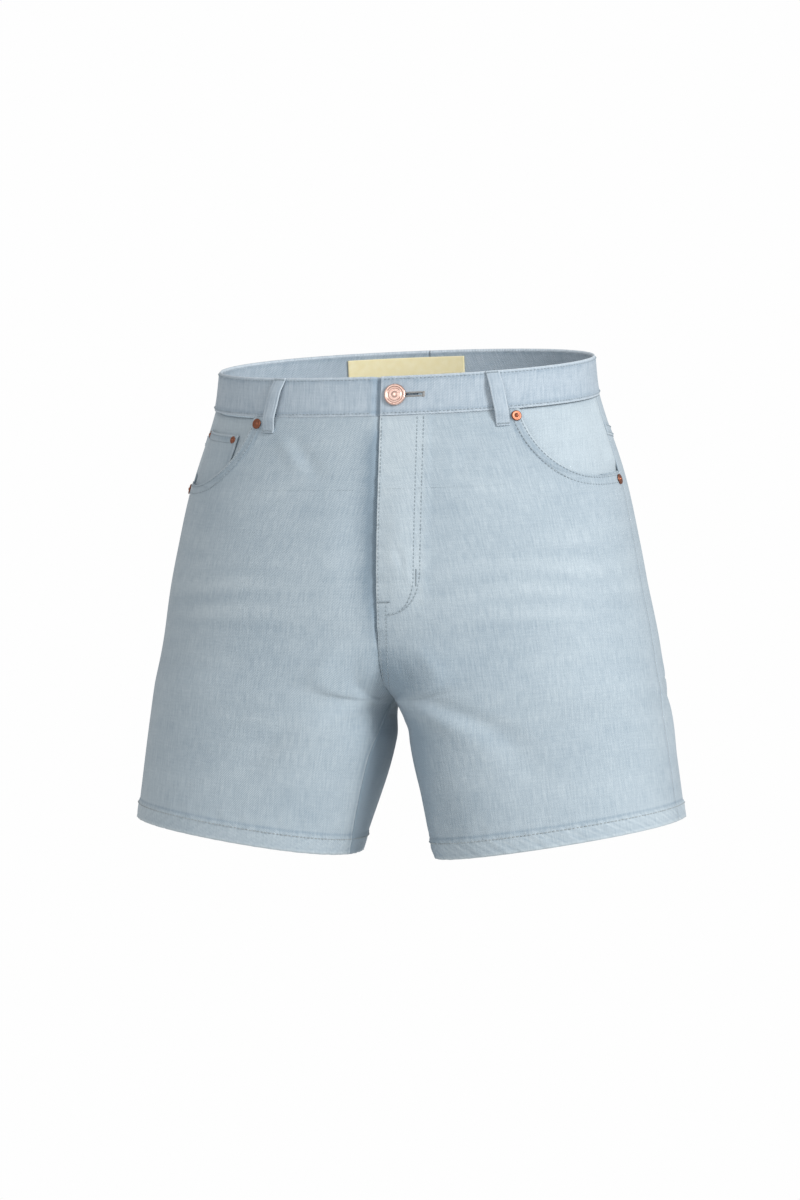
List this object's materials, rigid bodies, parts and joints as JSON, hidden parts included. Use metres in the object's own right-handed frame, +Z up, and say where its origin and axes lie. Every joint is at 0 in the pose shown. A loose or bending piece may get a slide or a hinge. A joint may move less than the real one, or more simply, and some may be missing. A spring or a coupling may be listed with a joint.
{
  "type": "denim bermuda shorts",
  "caption": "Light-wash denim shorts with a waistband, belt loops, button, fly, curved front pockets, coin pocket, back yoke and patch pockets, held in the hollow form they take when worn.",
  "frame": {"origin": "centre of the waist opening at the mean height of the waistband's top edge, where a wearer's waist holds the garment", "axes": "+Z up, the front of the shorts faces -Y, +X is the wearer's left"},
  "size_m": [0.4386, 0.2568, 0.4075],
  "materials": {
    "denim": "light-wash cotton denim twill, matt",
    "copper": "copper-plated, satin",
    "label": "cream woven tape"
  },
  "bodies": {
    "root": {"waistband_left": "denim", "waistband_right": "denim", "front_left": "denim", "front_right": "denim", "pocket_facing_left": "denim", "pocket_facing_right": "denim", "coin_pocket": "denim", "yoke_left": "denim", "yoke_right": "denim", "back_left": "denim", "back_right": "denim", "back_pocket_left": "denim", "back_pocket_right": "denim", "belt_loop_front_left": "denim", "belt_loop_front_right": "denim", "belt_loop_back_left": "denim", "belt_loop_back_right": "denim", "belt_loop_back_centre": "denim", "button": "copper", "rivet_pocket_left_top": "copper", "rivet_pocket_left_side": "copper", "rivet_pocket_right_top": "copper", "rivet_pocket_right_side": "copper", "rivet_coin_outer": "copper", "rivet_coin_inner": "copper", "label": "label"}
  },
  "joints": []
}
